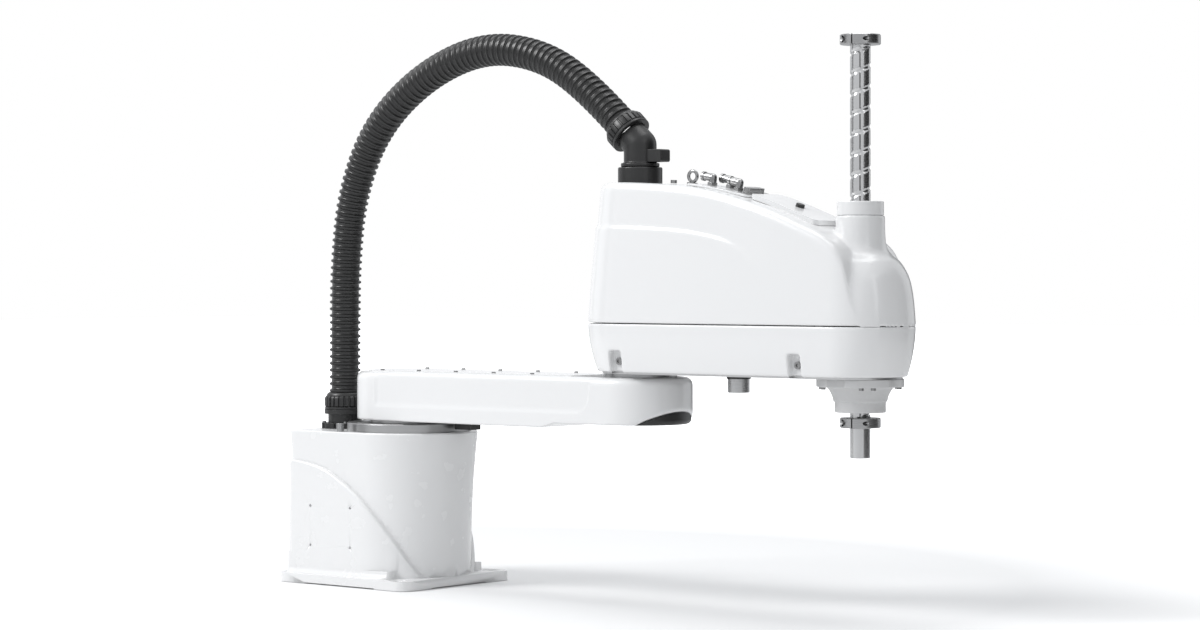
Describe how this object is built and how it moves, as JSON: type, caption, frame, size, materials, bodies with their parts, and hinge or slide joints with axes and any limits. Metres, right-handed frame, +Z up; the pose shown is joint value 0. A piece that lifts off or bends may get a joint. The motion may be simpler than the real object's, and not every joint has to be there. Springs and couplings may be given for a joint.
{
  "type": "scara robot",
  "caption": "Four-axis SCARA robot with a cast base, two arms, a ball screw spline shaft with 150 mm of stroke and an arched conduit.",
  "frame": {"origin": "middle of the square of four base bolt holes, on the underside of the plate", "axes": "+X from the base towards the tool with both arms straight, +Y to the left, +Z up"},
  "size_m": [0.786, 0.176, 0.5955],
  "materials": {
    "cast_white": "gloss paint",
    "cover_white": "gloss",
    "panel_white": "satin paint",
    "cast_grey": "fine cast",
    "raw_aluminium": "machined",
    "steel": "turned",
    "ground_steel": "ground",
    "bright_screw": "plated",
    "plated_fitting": "plated",
    "dark_steel": "black oxide",
    "motor_black": "satin",
    "black_plastic": "fine texture",
    "belt_rubber": "matt"
  },
  "bodies": {
    "base": {"base_casting": "cast_white", "base_rear_panel": "panel_white", "power_socket": "dark_steel", "signal_socket": "plated_fitting", "base_air_ports": "black_plastic", "base_air_plugs": "black_plastic", "rear_panel_screws": "bright_screw", "j1_reducer": "steel", "j1_motor": "motor_black", "j1_stop_pins": "steel", "conduit_lower_gland": "black_plastic", "conduit_gland_screws": "bright_screw", "conduit_lower_nut": "black_plastic", "conduit": "black_plastic"},
    "arm_1": {"arm_1_casting": "cast_white", "arm_1_top_cover": "cover_white", "arm_1_cover_screws": "bright_screw", "arm_1_bottom_cover": "black_plastic", "j1_output_flange": "raw_aluminium", "j1_stop_block": "dark_steel", "j2_output_flange": "raw_aluminium"},
    "arm_2": {"arm_2_lower_cover": "cover_white", "arm_2_upper_cover": "cover_white", "arm_2_frame": "raw_aluminium", "motor_shelf": "raw_aluminium", "arm_2_cover_screws": "bright_screw", "j2_motor": "motor_black", "j2_reducer": "steel", "u_motor": "motor_black", "z_motor": "motor_black", "u_belt": "belt_rubber", "z_belt": "belt_rubber", "ball_nut_bearing": "steel", "spline_nut_bearing": "steel", "nut_housing": "cast_grey", "nut_housing_screws": "bright_screw", "j2_stop_stud": "steel", "neck_cap": "cover_white", "service_panel": "panel_white", "air_fittings": "plated_fitting", "user_connector": "plated_fitting", "lifting_eye": "bright_screw", "earth_screw": "bright_screw", "button_cover": "cover_white", "conduit_socket": "black_plastic"},
    "conduit_swivel": {"conduit_elbow": "black_plastic", "conduit_latch": "black_plastic", "conduit_upper_nut": "black_plastic"},
    "spline_unit": {"spline_nut": "steel", "spline_nut_pulley": "raw_aluminium"},
    "ball_nut_unit": {"ball_nut": "steel", "ball_nut_pulley": "raw_aluminium"},
    "shaft": {"shaft": "ground_steel", "upper_collar": "steel", "lower_collar": "steel", "collar_screws": "dark_steel"},
    "u_drive": {"u_motor_pulley": "raw_aluminium"},
    "z_drive": {"z_motor_pulley": "raw_aluminium"},
    "brake_button": {"brake_release_button": "black_plastic"}
  },
  "joints": [
    {"name": "j1", "type": "hinge", "parent": "base", "child": "arm_1", "pos_m": [0.022, 0, 0.1785], "axis": [0, 0, 1], "range_deg": [-110, 110], "deforming": ["conduit"]},
    {"name": "j2", "type": "hinge", "parent": "arm_1", "child": "arm_2", "pos_m": [0.347, 0, 0.232], "axis": [0, 0, 1], "range_deg": [-145, 145]},
    {"name": "conduit_swivel_turn", "type": "hinge", "parent": "arm_2", "child": "conduit_swivel", "pos_m": [0.347, 0, 0.448], "axis": [0, 0, 1], "range_deg": [-145, 145]},
    {"name": "j4", "type": "hinge", "parent": "arm_2", "child": "spline_unit", "pos_m": [0.622, 0, 0.25], "axis": [0, 0, 1], "range_deg": [-360, 360]},
    {"name": "j3", "type": "slide", "parent": "spline_unit", "child": "shaft", "axis": [0, 0, -1], "range_m": [0, 0.15]},
    {"name": "ball_nut_turn", "type": "hinge", "parent": "spline_unit", "child": "ball_nut_unit", "pos_m": [0.622, 0, 0.3], "axis": [0, 0, 1], "range_deg": [0, 2700]},
    {"name": "u_pulley_turn", "type": "hinge", "parent": "arm_2", "child": "u_drive", "pos_m": [0.548, 0, 0.258], "axis": [0, 0, 1], "range_deg": [-720, 720]},
    {"name": "z_pulley_turn", "type": "hinge", "parent": "arm_2", "child": "z_drive", "pos_m": [0.494, 0, 0.282], "axis": [0, 0, 1], "range_deg": [0, 5400]},
    {"name": "brake_button_push", "type": "slide", "parent": "arm_2", "child": "brake_button", "axis": [-0.345, 0, -0.9386], "range_m": [0, 0.002], "stiffness_N_per_m": 800}
  ],
  "couplings": [
    {"joint": "conduit_swivel_turn", "follows": "j2", "ratio": -1},
    {"joint": "u_pulley_turn", "follows": "j4", "ratio": 2},
    {"joint": "ball_nut_turn", "follows": "j3", "rad_per_m": 314.16},
    {"joint": "z_pulley_turn", "follows": "j3", "rad_per_m": 628.32}
  ]
}
